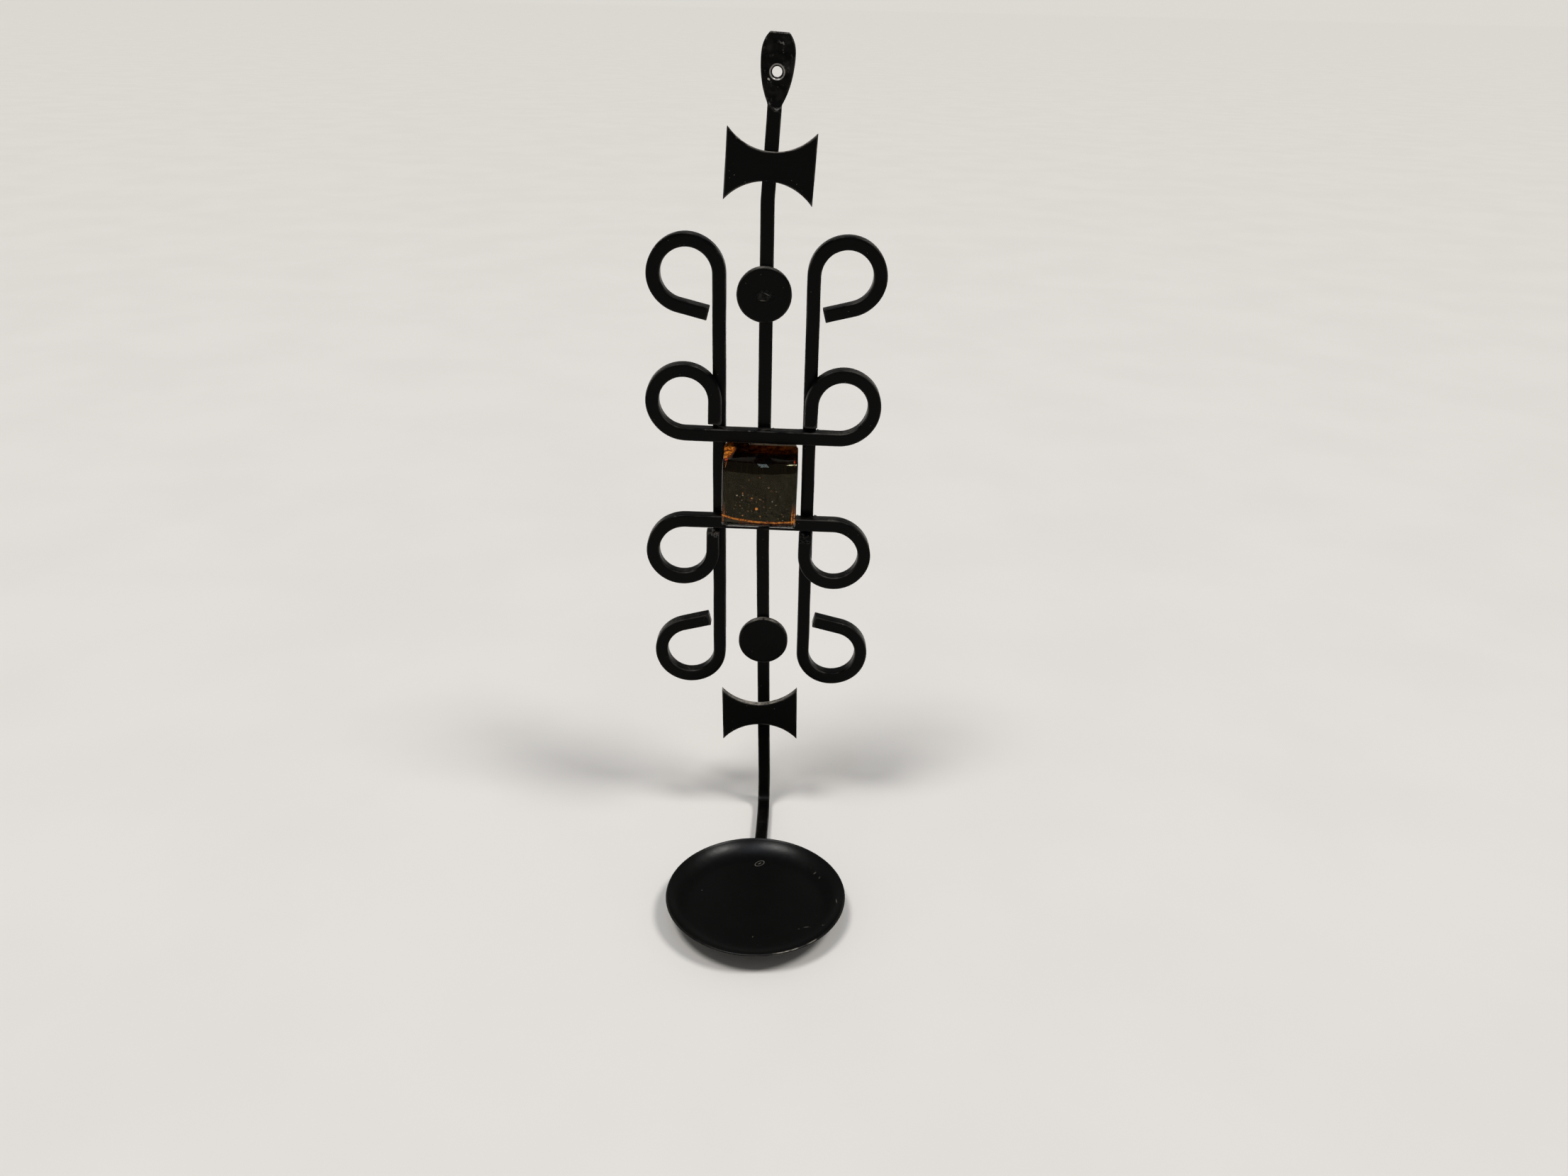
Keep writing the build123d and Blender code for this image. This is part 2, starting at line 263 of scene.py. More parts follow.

# %% [markdown]
# ## Black paint
# The bars, plates and discs are painted a satin black that has gone dusty on top, worn through along the
# edges and specked with small chips. A plain black would look like a hole in the picture, so the paint
# gets a faint grain, dust that settles where the surface faces up, and bare steel where edges turn. The
# edges also get a thin lighter line all along them, a painted highlight where light would catch them.
# How sharply a place turns is kept on the mesh, as a vertex attribute that the finish reads.


# %% Make the paint
BARE_STEEL = (0.32, 0.3, 0.27, 1)
DUST = (0.26, 0.24, 0.21, 1)


def black_paint(name, dust=0.6, film=0.0, wear=1.0, gloss=0.068, rough=0.3):
    """Satin black paint with dust on top, thin at the edges with a painted highlight along them, and a few
    chips.
    """
    paint = Finish(name, {"Specular IOR Level": gloss})
    cloud = paint.noise(90.0, 4.0)
    patch = paint.noise(380.0, 4.0, 0.65)
    fine = paint.noise(1500.0, 3.0)
    settled = paint.times(paint.ease(cloud, 0.45, 0.66), paint.ease(patch, 0.36, 0.68))
    settled = paint.times(settled, paint.ease(fine, 0.3, 0.6), 0.5 * dust)
    smeared = paint.times(paint.ease(patch, 0.3, 0.7), film)
    dust_on = paint.times(paint.facing_up(0.5, 0.95), paint.plus(settled, smeared))
    edge = paint.ease(paint.edges(), 0.55, 1.0)
    # painted highlight: a faint lighter line along every edge where light would catch it, besides thin paint
    thin_paint_and_edge_highlight = paint.times(edge, paint.ease(cloud, 0.35, 0.65), 0.14 * wear)
    worn = paint.times(edge, paint.ease(patch, 0.6, 0.72), paint.ease(fine, 0.42, 0.6), 0.4 * wear)
    chips = paint.times(paint.specks(420.0, 0.07, 0.35), 0.3 * wear)
    bare_and_edge_highlight = paint.most(thin_paint_and_edge_highlight, worn, chips)
    shade = paint.blend(cloud, (0.0008, 0.0008, 0.0007, 1), (0.0018, 0.0018, 0.0016, 1))
    paint.colour = paint.blend(bare_and_edge_highlight, paint.blend(dust_on, shade, DUST), BARE_STEEL)
    dull = paint.plus(rough - 0.08, paint.times(dust_on, 0.4))
    roughness = paint.plus(paint.times(patch, 0.16), dull)
    paint.normal = paint.bump(patch, 0.12, 0.0003, paint.bump(fine, 0.08, 0.0001))
    sockets = {"Base Color": paint.colour, "Roughness": roughness, "Normal": paint.normal}
    paint.fill(paint.shader, {**sockets, "Metallic": paint.times(bare_and_edge_highlight, 0.6)})
    return paint


bar_paint = black_paint("bar_paint")
print("paint has", len(bar_paint.tree.nodes), "nodes")

# %% [markdown]
# ## From a bmesh to a finished piece
# Each piece ends the same way: its faces are turned outwards, its turning edges are marked for wear and a
# painted edge highlight, and it is shaded smooth but for sharp edges. Then it rides on the holder and stands
# for the imported solids that it replaces. A forged bar is never quite true, so a little noise moves every
# vertex by about a tenth of a millimetre. The noise gets a seed, because it would otherwise start from the
# clock and differ in every run.

# %% Finish a piece
noise.seed_set(3)


def uneven(bm, amount, size, shift=0.0):
    """Move every vertex a little along a smooth random field, as hand work does."""
    for vert in bm.verts:
        spot = vert.co / size + Vector((shift, shift * 1.7, -shift))
        vert.co += noise.noise_vector(spot) * amount


def mark_edges(bm):
    """Keep on each vertex how far the surface turns outwards there, for wear and a painted edge highlight to
    follow.
    """
    edge = bm.verts.layers.float.new("edge")
    full_turn = radians(50)
    for vert in bm.verts:
        turn = sum(max(0.0, e.calc_face_angle_signed(0.0)) for e in vert.link_edges)
        vert[edge] = min(1.0, turn / full_turn)


def make_piece(bm, name, finish, nodes, turn_out=True, sharp=38):
    """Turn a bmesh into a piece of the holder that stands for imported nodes."""
    if turn_out:
        bmesh.ops.recalc_face_normals(bm, faces=bm.faces)
    mark_edges(bm)
    mesh = bpy.data.meshes.new(name)
    bm.to_mesh(mesh)
    bm.free()
    mesh.shade_smooth()
    mesh.set_sharp_from_angle(angle=radians(sharp))
    mesh.materials.append(finish.material)
    piece = bpy.data.objects.new(name, mesh)
    bpy.context.scene.collection.objects.link(piece)
    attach(piece, "root")
    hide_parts(*nodes)
    print(name, "has", len(mesh.polygons), "faces")
    return piece


# %% [markdown]
# ## Square bar
# A smith feeds a straight bar and bends it, and the spin operator can do both: spun by no angle with a
# step along the heading it feeds the section straight on, and spun about a centre it bends it. A curve
# with a square bevel would be quicker, but its section twists on tight loops and its caps can't be
# bevelled. The section is one square face with its corners rounded and its sides divided, so that the
# paint has edges to wear.


# %% Feed and bend a bar
def round_off(bm, parts, offset, segments, affect="EDGES"):
    """Bevel edges, or corners, into a round."""
    how = {"offset_type": "OFFSET", "profile": 0.5, "material": -1}
    bmesh.ops.bevel(bm, geom=parts, offset=offset, segments=segments, affect=affect, **how)


class Bar:
    """A square bar that grows along its heading, by feeding and bending the last rim."""

    def __init__(self, bm, rim, place, heading):
        self.bm = bm
        self.rim = rim
        self.place = Vector(place)
        self.heading = Vector(heading).normalized()

    def spin(self, **how):
        verts = {vert for edge in self.rim for vert in edge.verts}
        made = bmesh.ops.spin(self.bm, geom=[*verts, *self.rim], use_merge=False, **how)
        self.rim = [part for part in made["geom_last"] if isinstance(part, bmesh.types.BMEdge)]

    def feed(self, length, step=2.0 * MM):
        steps = max(1, round(length / step))
        ahead = self.heading * length
        self.spin(cent=(0, 0, 0), axis=(0, 0, 1), dvec=ahead / steps, angle=0.0, steps=steps)
        self.place += ahead

    def bend(self, axis, degrees, radius, step=1.2 * MM):
        angle = radians(degrees)
        side = Vector(axis).cross(self.heading) * (radius if angle > 0 else -radius)
        centre = self.place + side
        turn = Matrix.Rotation(angle, 3, Vector(axis))
        steps = max(2, round(abs(angle) * radius / step))
        self.spin(cent=centre, axis=axis, dvec=(0, 0, 0), angle=angle, steps=steps)
        self.place = centre - turn @ side
        self.heading = turn @ self.heading

    def cut_off(self, edge=0.35 * MM):
        """Close the bar's end, with a small rounding where the saw left it."""
        made = bmesh.ops.edgeloop_fill(self.bm, edges=self.rim)
        rim = [e for face in made["faces"] for e in face.edges]
        round_off(self.bm, rim, edge, 2)


def bar_section(bm, place, side, edge=0.6 * MM, cuts=3):
    """An open rounded square in the plane of the given frame's X and Y, as a loop of edges."""
    made = bmesh.ops.create_grid(bm, x_segments=1, y_segments=1, size=side / 2)
    round_off(bm, made["verts"], edge, 3, "VERTICES")
    flats = [e for e in bm.edges if e.calc_length() > side / 2]
    bmesh.ops.subdivide_edges(bm, edges=flats, cuts=cuts)
    bmesh.ops.delete(bm, geom=bm.faces[:], context="FACES_ONLY")
    bmesh.ops.transform(bm, matrix=place, verts=bm.verts)
    return bm.edges[:]


bar_low, bar_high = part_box("right_scroll_bar")
bar = bar_high.y - bar_low.y
INTO_WALL = Vector((0, 1, 0))
print("bar stock", round(bar / MM, 2), "mm square")

# %% [markdown]
# ## Side scrolls
# Two long bars run up the back, and each end is rolled outwards into a loop whose cut end points back at
# the bar. The bar starts as a section at its middle and grows both ways, up and down, so that the two
# loops match.

# %% Roll the side scrolls
loop_turn = 256.0
loop_tip_gap = 1.2 * MM
side_bars = []
for side, node in ((1, "right_scroll_bar"), (-1, "left_scroll_bar")):
    low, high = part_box(node)
    loop_radius = (high.x - low.x - bar) / 2
    bar_x = (low.x if side > 0 else high.x) + side * bar / 2
    middle_z = (low.z + high.z) / 2
    rise = (high.z - low.z) / 2 - bar / 2 - loop_radius
    bm = bmesh.new()
    start = Vector((bar_x, (low.y + high.y) / 2, middle_z))
    rim = bar_section(bm, Matrix.Translation(start), bar)
    for up in (1, -1):
        scroll = Bar(bm, rim, start, (0, 0, up))
        scroll.feed(rise)
        scroll.bend(INTO_WALL, side * up * loop_turn, loop_radius)
        tip_x = bar_x + side * (bar / 2 + loop_tip_gap + bar / 2 * abs(scroll.heading.z))
        scroll.feed((tip_x - scroll.place.x) / scroll.heading.x)
        scroll.cut_off()
    uneven(bm, 0.12 * MM, 14 * MM, side)
    make_piece(bm, node.replace("_bar", "_forged"), bar_paint, [node])
    side_bars.append(bar_x)
heart = Vector((sum(side_bars) / 2, 0, middle_z))
print("heart of the holder at", [round(v / MM, 2) for v in heart])

# %% [markdown]
# ## Cross scrolls
# A bar lies across the front above the glass and another below it. Their ends turn away from the glass,
# curl over and come back down on the side bars. The real ones are tilted a degree. Both are made level
# about the heart and tilted when they are done, which is simpler than bending along tilted headings.

# %% Curl the cross scrolls
cross_tilt = 1.0
cross_shift = -1.2 * MM
cross_rise = 21.3 * MM
curl_radius = 14.2 * MM
curl_shoulder_radius = 15.5 * MM
curl_tip_overhang = 1.1 * MM
curl_tip_gap = 2.2 * MM
side_x = side_bars[0] - heart.x
tip_x = side_x + curl_tip_overhang
shoulder_x = tip_x + 2 * curl_radius - curl_shoulder_radius
tail = curl_shoulder_radius - bar / 2 - curl_tip_gap
TILTED = Matrix.Translation(heart) @ Matrix.Rotation(radians(cross_tilt), 4, "Y")
for up, node in ((1, "upper_cross_scroll"), (-1, "lower_cross_scroll")):
    bm = bmesh.new()
    start = Vector((cross_shift, -1.5 * bar, up * cross_rise))
    rim = bar_section(bm, Matrix.Translation(start) @ Matrix.Rotation(radians(90), 4, "Y"), bar)
    for side in (1, -1):
        curl = Bar(bm, rim, start, (side, 0, 0))
        curl.feed(shoulder_x)
        curl.bend(INTO_WALL, -side * up * 90, curl_shoulder_radius)
        curl.bend(INTO_WALL, -side * up * 180, curl_radius)
        curl.feed(tail)
        curl.cut_off()
    bmesh.ops.transform(bm, matrix=TILTED, verts=bm.verts)
    uneven(bm, 0.12 * MM, 14 * MM, 3.0 + up)
    make_piece(bm, node.replace("_scroll", "_forged"), bar_paint, [node])

# %% [markdown]
# ## Spine and candle arm
# One bar makes the hanging eye, the spine and the arm. Below the eye it leans to the left, runs straight
# behind the plates, leans back towards its foot, and is bent forward into the arm that carries the dish.
# Each straight length is fed up to a height that is measured from the hanging hole, so the small bends
# between them don't add up to an error.

# %% Feed the spine
eye_lean = 3.5
lean = radians(eye_lean)
knee_drop = 50.0 * MM
hip_drop = 210.0 * MM
ankle_drop = 345.0 * MM
foot_lean = 1.1
arm_drop = 358.0 * MM
bend_radius = 8.5 * MM
wrist_reach = 16.0 * MM
arm_swing = 1.6
eye_start_drop = 19.0 * MM
EYE = Matrix.Rotation(lean, 4, "Y")
arm_end = -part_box("spine_bar")[0].y
bm = bmesh.new()
start = EYE @ Vector((0, -bar / 2, -eye_start_drop))
rim = bar_section(bm, Matrix.Translation(start) @ EYE, bar, cuts=7)
spine = Bar(bm, rim, start, EYE @ Vector((0, 0, -1)))
spine.feed(knee_drop - eye_start_drop)
spine.bend(INTO_WALL, -eye_lean, bend_radius)
spine.feed(spine.place.z + hip_drop)
spine.bend(INTO_WALL, -foot_lean, bend_radius)
spine.feed((spine.place.z + ankle_drop) / cos(radians(foot_lean)))
spine.bend(INTO_WALL, foot_lean, bend_radius)
spine.feed(spine.place.z + arm_drop - bend_radius)
spine.bend((-1, 0, 0), 90, bend_radius, 0.8 * MM)
spine.feed(spine.place.y + wrist_reach)
spine.bend((0, 0, 1), -arm_swing, bend_radius)
spine.feed((spine.place.y + arm_end) / cos(radians(arm_swing)))
spine.cut_off()
print("arm ends at", [round(v / MM, 2) for v in spine.place])

# %% [markdown]
# ## Hanging eye
# The eye is forged: the bar's end is hammered flat, and what it loses in thickness it gains in width. The
# mesh does the same. A plain bar is fed upwards in short steps, widened by a smooth outline and pressed
# to half its thickness above a pointed shoulder, and noise of two sizes dents its front where the hammer
# fell. Modelling the eye as a separate plate would be easier, but it would leave a seam.

# %% Forge the eye
eye_half_width = 7.1
neck_taper = (3.25, 0.85)
top_taper = (1.3, 1.9)
eye_widest_rise = 5.7 * MM
eye_top_rise = 15.0 * MM
eye_neck_drop = 12.4 * MM
eye_flat = 0.5
shoulder_drop = 12.6 * MM
shoulder_point = 2.4 * MM
shoulder_half = 3.4 * MM
shoulder_middle = 0.9 * MM
press_run = 0.9 * MM
dent_depth = 0.22 * MM


def eye_outline(z):
    """Half width of the eye at a height above the hole, in millimetres."""
    if z < eye_widest_rise:
        down = min(1.0, (eye_widest_rise - z) / (eye_widest_rise + eye_neck_drop))
        return eye_half_width - neck_taper[0] * down**2 - neck_taper[1] * down**3
    up = (z - eye_widest_rise) / (eye_top_rise - eye_widest_rise)
    return eye_half_width - top_taper[0] * up**2 - top_taper[1] * up**3


eye = Bar(bm, rim, start, EYE @ Vector((0, 0, 1)))
eye.feed(eye_start_drop + eye_top_rise, 0.5 * MM)
TO_EYE = EYE.inverted()
for vert in bm.verts:
    spot = TO_EYE @ vert.co
    if spot.z > -eye_start_drop + 0.1 * MM:
        spot.x *= eye_outline(spot.z) * MM / (bar / 2)
        point = max(0.0, 1 - abs(spot.x - shoulder_middle) / shoulder_half)
        shoulder = -shoulder_drop - shoulder_point * point
        pressed = min(1.0, max(0.0, (spot.z - shoulder) / press_run))
        spot.y *= 1 - eye_flat * pressed
        blow = Vector((spot.x, spot.z, 0))
        dent = noise.noise(blow / (3.2 * MM)) + 0.5 * noise.noise(blow / (1.5 * MM))
        if spot.y < -2 * MM:
            spot.y += dent_depth * dent * pressed
        vert.co = EYE @ spot
eye.cut_off(0.3 * MM)
bmesh.ops.recalc_face_normals(bm, faces=bm.faces)
print("eye", round(2 * max(eye_outline(z * MM) for z in range(-12, 15)), 1), "mm wide")

# %% [markdown]
# ## Hanging hole
# The nail's hole is drilled through the flat of the eye and widens to a cone at the front, where the
# nail's head rests. A Boolean cuts it after the hammering, so that it stays round. The cutter is a circle
# that is extruded twice and widened at its last end. The Boolean is applied at once, and its many-sided
# faces are triangulated.

# %% Cut the hanging hole
hole_radius = 2.1 * MM
ring_radius = 3.0 * MM
eye_thickness = 3.0 * MM
past = 0.4 * MM
FACE_ROOM = Matrix.Rotation(radians(90), 3, "X")
cutter_bm = bmesh.new()
bmesh.ops.create_circle(cutter_bm, cap_ends=True, segments=48, radius=hole_radius)
bmesh.ops.rotate(cutter_bm, cent=(0, 0, 0), matrix=FACE_ROOM, verts=cutter_bm.verts)
bmesh.ops.translate(cutter_bm, vec=(0, 1 * MM, 0), verts=cutter_bm.verts)
face = next(iter(cutter_bm.faces))
sink = ring_radius - hole_radius
for depth, radius in ((-eye_thickness + sink, hole_radius), (-eye_thickness - past, ring_radius + past)):
    grown = bmesh.ops.extrude_discrete_faces(cutter_bm, faces=[face])
    face = grown["faces"][0]
    centre = face.calc_center_median()
    growth = radius / (face.verts[0].co - centre).length
    bmesh.ops.scale(cutter_bm, vec=(growth, 1, growth), space=Matrix.Translation(-centre), verts=face.verts)
    bmesh.ops.translate(cutter_bm, vec=(0, depth - centre.y, 0), verts=face.verts)
bmesh.ops.holes_fill(cutter_bm, edges=cutter_bm.edges)
bmesh.ops.recalc_face_normals(cutter_bm, faces=cutter_bm.faces)
meshes = {}
for name, source in (("spine_uncut", bm), ("hole_cutter", cutter_bm)):
    meshes[name] = bpy.data.objects.new(name, bpy.data.meshes.new(name))
    source.to_mesh(meshes[name].data)
    source.free()
    bpy.context.scene.collection.objects.link(meshes[name])
cut = meshes["spine_uncut"].modifiers.new("hole", "BOOLEAN")
cut.object = meshes["hole_cutter"]
cut.solver = "EXACT"
evaluated = meshes["spine_uncut"].evaluated_get(bpy.context.evaluated_depsgraph_get())
bm = bmesh.new()
bm.from_mesh(evaluated.to_mesh())
for spare in meshes.values():
    bpy.data.objects.remove(spare)
bmesh.ops.triangulate(bm, faces=[face for face in bm.faces if len(face.verts) > 4])
print("spine has", len(bm.faces), "faces with its hole")

# %% [markdown]
# ## Wear and painted highlights on the eye
# The eye wears bare where the nail's head rubs: a bright ring round the hole, which is also a painted
# highlight on the rim of its cone, a chip below it and a bright line where the hammer left the shoulder.
# These marks belong to one place, so the spine's paint is the bar paint with masks that measure the
# distance to that place, or the eye's own millimetres. Painting them on an image would need an unwrapped
# mesh, and masks don't.

# %% Mark the bare places of the eye
coat = black_paint("spine_paint", dust=0.08)
eye_x, eye_y, eye_z = coat.own((0, 0, 0), lean)
blots = coat.noise(300.0, 4.0, 0.7)
from_hole = coat.distance((0, -eye_thickness, 0), (1, 4, 1))
wavering = coat.plus(from_hole, coat.times(blots, 0.0006))
# painted highlight: the bright ring round the hole is partly nail wear and partly light on the rim of the
# cone
nail_ring_and_rim_highlight = coat.times(coat.line(wavering, 0.0032, 0.00042), coat.ease(blots, 0.25, 0.5))
from_chip = coat.distance((-0.0034, -0.003, -0.0028), (1.3, 4, 0.8), (0, radians(40), 0))
chip = coat.ease(coat.plus(from_chip, coat.times(blots, 0.0012)), 0.0012, 0.0009)
beside = coat.size(coat.minus(eye_x, shoulder_middle / MM))
fold = coat.line(eye_z, coat.plus(coat.times(beside, 0.7), -14.5), 0.45)
fold = coat.times(fold, coat.ease(beside, 3.6, 3.0), coat.ease(blots, 0.42, 0.62), 0.45)
print("paint of the eye has", len(coat.tree.nodes), "nodes so far")

# %% [markdown]
# ## Rubbed paint on the eye
# The flat of the eye is also rubbed in soft patches and streaks, and its cut top end gets painted glints.
# A patch is noise that a mask keeps to the front of the eye. All marks together, the painted glints too,
# say how light a place is. Inside the hole a plain black covers the wear and the painted edge highlight of
# its edges, because nothing rubs there.

# %% Paint the spine
on_eye = coat.times(coat.ease(eye_z, -13.0, -11.0), coat.ease(eye_y, -1.5, -2.0))
broad = coat.ease(coat.noise(210.0, 2.0), 0.45, 0.7, 0.03)
rubs = coat.times(on_eye, coat.most(broad, coat.ease(blots, 0.55, 0.72, 0.09)))
streaks = coat.times(on_eye, coat.line(eye_x, 1.6, 2.2), coat.ease(blots, 0.58, 0.68), 0.4)
# painted glints on the cut top end of the eye
cut_top_glints = coat.times(coat.ease(eye_z, 14.2, 14.8), coat.ease(blots, 0.42, 0.56), 0.7)
bright = coat.times(coat.most(nail_ring_and_rim_highlight, chip, fold, rubs, streaks, cut_top_glints), 0.85)
in_hole = coat.ease(from_hole, 0.0031, 0.0028)
around = coat.blend(in_hole, coat.colour, (0.006, 0.006, 0.005, 1))
# the steel colour here also paints the ring's highlight and the glints of the cut top
steel = coat.blend(bright, around, (0.42, 0.4, 0.37, 1))
coat.fill(coat.shader, {"Base Color": steel, "Metallic": coat.times(bright, 0.7)})
uneven(bm, 0.08 * MM, 16 * MM, 5.0)
make_piece(bm, "spine_forged", coat, ["spine_bar"])

# %% [markdown]
# ## Axe plates
# Two plates shaped like a double axe head sit on the spine, cut from 3 mm plate with a hollow arc above
# and below. A grid is bent to that outline by moving its rows, which keeps good quads for the bevel, then
# it is extruded and its edges are rounded. The upper plate leans with the eye and the lower one with the
# foot.


# %% Cut the axe plates
def thicken(bm, step):
    """Extrude a flat sheet of faces into a closed plate."""
    grown = bmesh.ops.extrude_face_region(bm, geom=bm.faces[:])
    far_side = [part for part in grown["geom"] if isinstance(part, bmesh.types.BMVert)]
    bmesh.ops.translate(bm, vec=step, verts=far_side)
    bmesh.ops.recalc_face_normals(bm, faces=bm.faces)


plate_width = 37.8 * MM
plate_height = 29.5 * MM
plate_waist = 11.7 * MM
plate_hollow = (plate_height - plate_waist) / 2
plate_arc = ((plate_width / 2) ** 2 + plate_hollow**2) / (2 * plate_hollow)
plate_paint = black_paint("plate_paint", film=1.2, wear=1.8, rough=0.42)
for node, turn in (("upper_axe_plate", eye_lean), ("lower_axe_plate", -foot_lean)):
    low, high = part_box(node)
    bm = bmesh.new()
    bmesh.ops.create_grid(bm, x_segments=36, y_segments=12, size=1.0)
    for vert in bm.verts:
        x = vert.co.x * plate_width / 2
        half = plate_waist / 2 + plate_arc - sqrt(plate_arc**2 - x**2)
        vert.co = (x, high.y, vert.co.y * half)
    thicken(bm, (0, low.y - high.y, 0))
    rims = [e for e in bm.edges if e.calc_face_angle(0.0) > radians(50)]
    round_off(bm, rims, 0.35 * MM, 2)
    centre = Vector(((low.x + high.x) / 2, 0, (low.z + high.z) / 2))
    place = Matrix.Translation(centre) @ Matrix.Rotation(radians(turn), 4, "Y")
    bmesh.ops.transform(bm, matrix=place, verts=bm.verts)
    uneven(bm, 0.1 * MM, 12 * MM, 7.0 + turn)
    make_piece(bm, node.replace("_plate", "_cut"), plate_paint, [node])

# %% [markdown]
# ## Discs
# Two round discs are stamped from plate, with a rounded front edge. Each is a circle that is extruded and
# bevelled, and its face is inset in rings, so that it has vertices enough to be a little wavy. A flat
# cylinder would mirror like a coin.

# %% Stamp a disc
disc_radius = (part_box("upper_disc")[1].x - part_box("upper_disc")[0].x) / 2
face_rings = 9


def stamp_disc(low, high):
    """A round plate that fills a box, with a broad round in front and a narrow one behind."""
    bm = bmesh.new()
    bmesh.ops.create_circle(bm, cap_ends=True, segments=96, radius=disc_radius)
    bmesh.ops.rotate(bm, cent=(0, 0, 0), matrix=FACE_ROOM, verts=bm.verts)
    bmesh.ops.translate(bm, vec=((low.x + high.x) / 2, high.y, (low.z + high.z) / 2), verts=bm.verts)
    thicken(bm, (0, low.y - high.y, 0))
    for place, offset, segments in ((low.y, 0.7 * MM, 4), (high.y, 0.3 * MM, 2)):
        rim = [e for e in bm.edges if all(abs(v.co.y - place) < 1e-6 for v in e.verts)]
        round_off(bm, rim, offset, segments)
    caps = [face for face in bm.faces if len(face.verts) > 8]
    for inset in range(face_rings):
        bmesh.ops.inset_region(bm, faces=caps, thickness=disc_radius / 10, use_even_offset=True)
    return bm


print("discs are", round(2 * disc_radius / MM, 1), "mm across")

# %% [markdown]
# ## Burr on the upper disc
# The upper disc has a rough patch at its middle, where a burr with two sharp ridges was left under the
# paint. It is too fine for the mesh, so the paint gets a bump there, and a light steel colour on the ridges
# that is partly bare steel and partly a painted glint. Both discs are then made in one loop, and only the
# upper one gets the burr.


# %% Finish the discs
def add_burr(coat, x, y, z):
    """A rough patch in the paint round a point of a disc's face, with two ridges lightened as bare steel and
    painted glints.
    """
    rag = coat.noise(420.0, 4.0, 0.7)
    near = coat.distance((x, y, z - 0.6 * MM), (1.5, 6, 1.0))
    patch = coat.ease(coat.plus(near, coat.times(rag, 0.0034)), 0.0047, 0.0034)
    height = coat.times(patch, coat.noise(650.0, 5.0, 0.75))
    normal = coat.bump(height, 0.9, 0.0011, coat.normal)
    torn_and_ridge_glint = coat.times(patch, coat.ease(height, 0.45, 0.6), 0.06)
    for across, up, length, turn in ((1.15, 0.5, 2.3, 25), (-0.4, -2.3, 2.0, 5)):
        spot = (x + across * MM, y, z + up * MM)
        near = coat.distance(spot, (length, 6, 0.22), (0, radians(turn), 0))
        # painted glint: each ridge line is lightened like bare steel catching the light
        ridge_glint = coat.ease(coat.plus(near, coat.times(rag, 0.0012)), 0.0015, 0.001)
        torn_and_ridge_glint = coat.most(torn_and_ridge_glint, coat.times(ridge_glint, 0.35))
    colour = coat.blend(torn_and_ridge_glint, coat.colour, BARE_STEEL)
    coat.fill(coat.shader, {"Normal": normal, "Base Color": colour})


for node, burr in (("upper_disc", 1.0), ("lower_disc", 0.0)):
    low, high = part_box(node)
    bm = stamp_disc(low, high)
    uneven(bm, 0.09 * MM, 7 * MM, 11.0 + burr)
    coat = black_paint(node + "_paint", film=0.8 - 0.5 * burr)
    if burr:
        add_burr(coat, (low.x + high.x) / 2, low.y, (low.z + high.z) / 2)
    make_piece(bm, node + "_stamped", coat, [node])

# %% [markdown]
# ## Candle dish
# The dish is pressed from sheet: a flat floor and a wall that flares to a rounded edge. Its profile is
# drawn once, a straight floor and a spun arc for the wall, and spun all the way round. The thickness
# comes after the normals are right, because it is added on their side. A cylinder scaled at one end would
# do for a simple bowl, but its wall would be straight.

# %% Press the dish
low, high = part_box("candle_dish")
dish_centre = (low + high) / 2
dish_radius = (high.x - low.x) / 2
dish_sheet = 1.0 * MM
floor_radius = 29.0 * MM
wall_run = 12.5 * MM
wall_rise = 5.5 * MM
wall_angle = 2 * atan2(wall_rise, wall_run)
wall_radius = wall_run / sin(wall_angle) + dish_sheet / 2
bm = bmesh.new()
middle_vert = bmesh.ops.create_vert(bm, co=(0, 0, low.z))["vert"]
grown = bmesh.ops.extrude_vert_indiv(bm, verts=middle_vert)
bmesh.ops.translate(bm, vec=(floor_radius, 0, 0), verts=grown["verts"])
bmesh.ops.subdivide_edges(bm, edges=grown["edges"], cuts=9)
wall_centre = (floor_radius, 0, low.z + wall_radius)
wall_foot = max(bm.verts, key=lambda vert: vert.co.x)
how = {"axis": (0, -1, 0), "angle": wall_angle, "steps": 12, "use_merge": False}
bmesh.ops.spin(bm, geom=[wall_foot], cent=wall_centre, dvec=(0, 0, 0), **how)
profile = [*bm.verts, *bm.edges]
how = {"axis": (0, 0, 1), "angle": 2 * pi, "steps": 128, "use_merge": True}
bmesh.ops.spin(bm, geom=profile, cent=(0, 0, 0), dvec=(0, 0, 0), **how)
bmesh.ops.remove_doubles(bm, verts=bm.verts, dist=1e-6)
bmesh.ops.recalc_face_normals(bm, faces=bm.faces)
if sum(face.normal.z for face in bm.faces) < 0:
    bmesh.ops.reverse_faces(bm, faces=bm.faces)
bmesh.ops.solidify(bm, geom=bm.faces[:], thickness=-dish_sheet)
heights = [vert.co.z / MM for vert in bm.verts]
print("sheet from", round(min(heights), 2), "to", round(max(heights), 2))
bm.normal_update()
rims = [e for e in bm.edges if e.calc_face_angle(0.0) > radians(60)]
round_off(bm, rims, 0.4 * MM, 3)
bmesh.ops.translate(bm, vec=(dish_centre.x, dish_centre.y, 0), verts=bm.verts)
uneven(bm, 0.12 * MM, 26 * MM, 17.0)

# %% [markdown]
# ## Marks on the dish
# The dish's paint is glossier than the bars', and candles have scratched it. It is chipped along the
# front of the rim, and a small ring shows where the weld to the arm came through. The marks are masks
# again: a thin tilted ring, short scratches that are stretched rounds, and a length of rim where the
# paint has come off. The rim's bare length is a product of three masks: near the rim, near the front
# right, and broken by noise.

